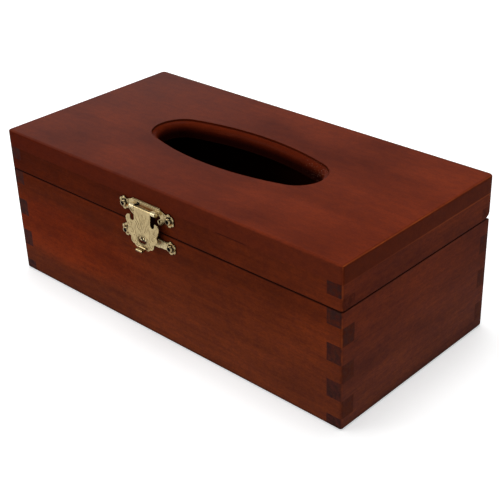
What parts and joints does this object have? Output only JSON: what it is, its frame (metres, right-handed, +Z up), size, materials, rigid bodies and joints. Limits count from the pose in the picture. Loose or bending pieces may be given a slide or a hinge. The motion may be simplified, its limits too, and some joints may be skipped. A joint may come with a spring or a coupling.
{
  "type": "tissue box",
  "caption": "Wooden tissue box with finger-jointed corners, a rear-hinged lid with an oval dispensing opening, and a stamped brass hasp clasp on the front.",
  "frame": {"origin": "middle of the underside of the wooden box; the clasp, which stands out of the front, isn't counted", "axes": "+X along the length, to the right seen from the front; +Y from the clasp side to the hinge side; +Z up"},
  "size_m": [0.27, 0.1439, 0.1],
  "materials": {
    "panel_wood": "red-brown stain, satin lacquer, grain along the length",
    "board_wood": "red-brown stain, satin lacquer, grain along the length",
    "end_wood": "red-brown stain, satin lacquer, grain across the width",
    "floor_wood": "stained plywood",
    "clasp_brass": "pale antique brass, stamped and lightly worn",
    "screw_brass": "pale antique brass",
    "hinge_brass": "satin brass",
    "pin_steel": "brass-washed steel wire"
  },
  "bodies": {
    "base": {"base_front_board": "board_wood", "base_back_board": "board_wood", "base_left_board": "end_wood", "base_right_board": "end_wood", "base_floor_panel": "floor_wood", "left_hinge_base_leaf": "hinge_brass", "left_hinge_pin": "pin_steel", "right_hinge_base_leaf": "hinge_brass", "right_hinge_pin": "pin_steel", "hinge_base_screws": "screw_brass", "clasp_catch_plate": "clasp_brass", "clasp_base_screws": "screw_brass"},
    "lid": {"lid_top_panel": "panel_wood", "lid_front_rail": "board_wood", "lid_back_rail": "board_wood", "lid_left_rail": "end_wood", "lid_right_rail": "end_wood", "left_hinge_lid_leaf": "hinge_brass", "right_hinge_lid_leaf": "hinge_brass", "hinge_lid_screws": "screw_brass", "clasp_lid_plate": "clasp_brass", "clasp_hinge_pin": "pin_steel", "clasp_lid_screws": "screw_brass"},
    "hasp": {"clasp_hasp": "clasp_brass"}
  },
  "joints": [
    {"name": "lid_hinge", "type": "hinge", "parent": "base", "child": "lid", "pos_m": [0, 0.0645, 0.0735], "axis": [-1, 0, 0], "range_deg": [0, 105]},
    {"name": "hasp_swing", "type": "hinge", "parent": "lid", "child": "hasp", "pos_m": [-0.0065, -0.07035, 0.0857], "axis": [-1, 0, 0], "range_deg": [-4, 150]}
  ]
}
